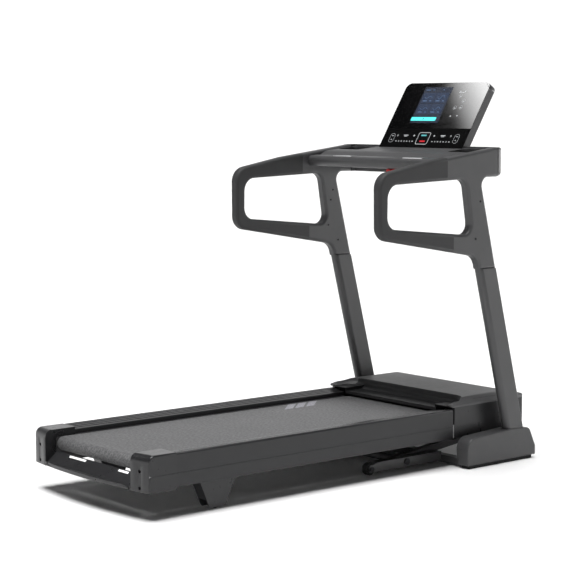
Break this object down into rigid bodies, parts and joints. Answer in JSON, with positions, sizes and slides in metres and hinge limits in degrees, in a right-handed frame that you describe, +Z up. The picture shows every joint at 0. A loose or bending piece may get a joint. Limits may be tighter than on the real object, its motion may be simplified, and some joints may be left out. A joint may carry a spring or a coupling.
{
  "type": "treadmill",
  "caption": "Folding motorised treadmill: belted deck with foot rails, leaning uprights, looped handles, tray and tilted console; deck inclines and folds.",
  "frame": {"origin": "on the floor, under the centre of the machine's bounding box", "axes": "+Z up, +Y from the deck's rear end to the motor end, +X the runner's right"},
  "size_m": [0.892, 1.884, 1.4979],
  "materials": {
    "painted_steel": "satin powder coat, fine texture",
    "shell_plastic": "matte moulded, fine grain",
    "grip_foam": "soft matte foam skin",
    "rubber_black": "matte rubber",
    "bright_steel": "turned and brushed",
    "dark_screws": "blackened",
    "console_plastic": "matte moulded",
    "gloss_black": "polished black glass look",
    "circuit_green": "solder resist",
    "red_plastic": "moulded red",
    "black_plastic": "moulded black",
    "rail_coating": "ribbed matte",
    "cap_plastic": "fine moulded grain",
    "deck_wood": "phenolic faced board",
    "belt_pvc": "fine woven emboss",
    "drive_rubber": "ribbed",
    "hood_plastic": "matte moulded, fine grain",
    "motor_steel": "satin black"
  },
  "bodies": {
    "base": {"base_beams": "painted_steel", "base_cross_tube": "painted_steel", "stabilizer_tubes": "painted_steel", "base_feet": "rubber_black", "pivot_pins": "dark_screws", "base_cover_left": "shell_plastic", "base_cover_right": "shell_plastic", "upright_left": "painted_steel", "upright_right": "painted_steel", "handle_shell_left": "shell_plastic", "handle_shell_right": "shell_plastic", "grip_left": "grip_foam", "grip_right": "grip_foam", "front_bridge": "shell_plastic", "tray": "shell_plastic", "handlebar": "shell_plastic", "pulse_plates": "bright_steel", "console_shell": "console_plastic", "console_glass": "gloss_black", "console_keypad": "gloss_black", "console_display": "gloss_black", "console_board": "circuit_green", "frame_screws": "dark_screws"},
    "transport_wheel_left": {"transport_wheel_left": "rubber_black"},
    "transport_wheel_right": {"transport_wheel_right": "rubber_black"},
    "incline": {"incline_frame": "painted_steel"},
    "cradle": {"fold_cradle": "painted_steel"},
    "lift_body": {"lift_motor": "black_plastic"},
    "lift_ram": {"lift_screw": "bright_steel"},
    "strut_body": {"strut_cylinder": "black_plastic"},
    "strut_ram": {"strut_rod": "bright_steel"},
    "deck": {"side_rail_left": "rail_coating", "side_rail_right": "rail_coating", "end_cap_left": "cap_plastic", "end_cap_right": "cap_plastic", "end_cap_screws": "dark_screws", "rear_bar": "cap_plastic", "deck_frame": "painted_steel", "deck_board": "deck_wood", "deck_cushions": "rubber_black", "running_belt": "belt_pvc", "roller_axles": "bright_steel", "rear_foot_left": "cap_plastic", "rear_foot_right": "cap_plastic", "side_panel_left": "cap_plastic", "side_panel_right": "cap_plastic", "belly_pan": "shell_plastic", "front_panel": "cap_plastic", "power_inlet": "black_plastic", "hood": "hood_plastic", "drive_motor": "motor_steel", "drive_belt": "drive_rubber", "motor_controller": "circuit_green"},
    "front_roller": {"front_roller": "bright_steel"},
    "rear_roller": {"rear_roller": "bright_steel"},
    "motor_rotor": {"motor_flywheel": "bright_steel"},
    "foot_wheel_left": {"foot_wheel_left": "rubber_black"},
    "foot_wheel_right": {"foot_wheel_right": "rubber_black"},
    "safety_key": {"safety_key": "red_plastic"},
    "power_rocker": {"power_switch": "red_plastic"}
  },
  "joints": [
    {"name": "incline_lift", "type": "hinge", "parent": "base", "child": "incline", "pos_m": [0, 0.364, 0.03], "axis": [1, 0, 0], "range_deg": [0, 20]},
    {"name": "deck_tilt", "type": "hinge", "parent": "incline", "child": "cradle", "pos_m": [0, 0.849, 0.085], "axis": [1, 0, 0], "range_deg": [-13.8, 0.2]},
    {"name": "deck_fold", "type": "hinge", "parent": "cradle", "child": "deck", "pos_m": [0, 0.849, 0.085], "axis": [-1, 0, 0], "range_deg": [0, 60]},
    {"name": "strut_swing", "type": "hinge", "parent": "cradle", "child": "strut_body", "pos_m": [0.07, 0.6, 0.062], "axis": [-1, 0, 0], "range_deg": [-0.2, 77.6]},
    {"name": "strut_stroke", "type": "slide", "parent": "strut_body", "child": "strut_ram", "axis": [0, -0.9974, 0.0714], "range_m": [-0.0005, 0.19]},
    {"name": "lift_swing", "type": "hinge", "parent": "base", "child": "lift_body", "pos_m": [-0.09, 0.535, 0.042], "axis": [-1, 0, 0], "range_deg": [-4.6, 0.2]},
    {"name": "lift_stroke", "type": "slide", "parent": "lift_body", "child": "lift_ram", "axis": [0, -0.8989, 0.4382], "range_m": [-0.0005, 0.0291]},
    {"name": "front_roller_spin", "type": "hinge", "parent": "deck", "child": "front_roller", "pos_m": [0, 0.589, 0.175], "axis": [1, 0, 0], "continuous": true},
    {"name": "rear_roller_spin", "type": "hinge", "parent": "deck", "child": "rear_roller", "pos_m": [0, -0.856, 0.175], "axis": [1, 0, 0], "continuous": true},
    {"name": "motor_spin", "type": "hinge", "parent": "deck", "child": "motor_rotor", "pos_m": [0.15, 0.715, 0.166], "axis": [1, 0, 0], "continuous": true},
    {"name": "foot_wheel_left_spin", "type": "hinge", "parent": "deck", "child": "foot_wheel_left", "pos_m": [-0.315, -0.605, 0.022], "axis": [1, 0, 0], "continuous": true},
    {"name": "foot_wheel_right_spin", "type": "hinge", "parent": "deck", "child": "foot_wheel_right", "pos_m": [0.315, -0.605, 0.022], "axis": [1, 0, 0], "continuous": true},
    {"name": "transport_wheel_left_spin", "type": "hinge", "parent": "base", "child": "transport_wheel_left", "pos_m": [-0.264, 0.18, 0.0235], "axis": [1, 0, 0], "continuous": true},
    {"name": "transport_wheel_right_spin", "type": "hinge", "parent": "base", "child": "transport_wheel_right", "pos_m": [0.264, 0.18, 0.0235], "axis": [1, 0, 0], "continuous": true},
    {"name": "safety_key_pull", "type": "slide", "parent": "base", "child": "safety_key", "axis": [0, -1, 0], "range_m": [0, 0.04]},
    {"name": "power_switch_rock", "type": "hinge", "parent": "deck", "child": "power_rocker", "pos_m": [-0.22, 0.931, 0.154], "axis": [1, 0, 0], "range_deg": [0, 9]}
  ],
  "couplings": [
    {"joint": "deck_tilt", "follows": "incline_lift", "ratio": -0.68},
    {"joint": "lift_swing", "follows": "incline_lift", "ratio": -0.21253},
    {"joint": "lift_stroke", "follows": "incline_lift", "m_per_rad": 0.080508},
    {"joint": "strut_swing", "follows": "deck_fold", "ratio": 1.2883},
    {"joint": "strut_stroke", "follows": "deck_fold", "m_per_rad": 0.17955},
    {"joint": "rear_roller_spin", "follows": "front_roller_spin", "ratio": 1},
    {"joint": "motor_spin", "follows": "front_roller_spin", "ratio": 2}
  ]
}
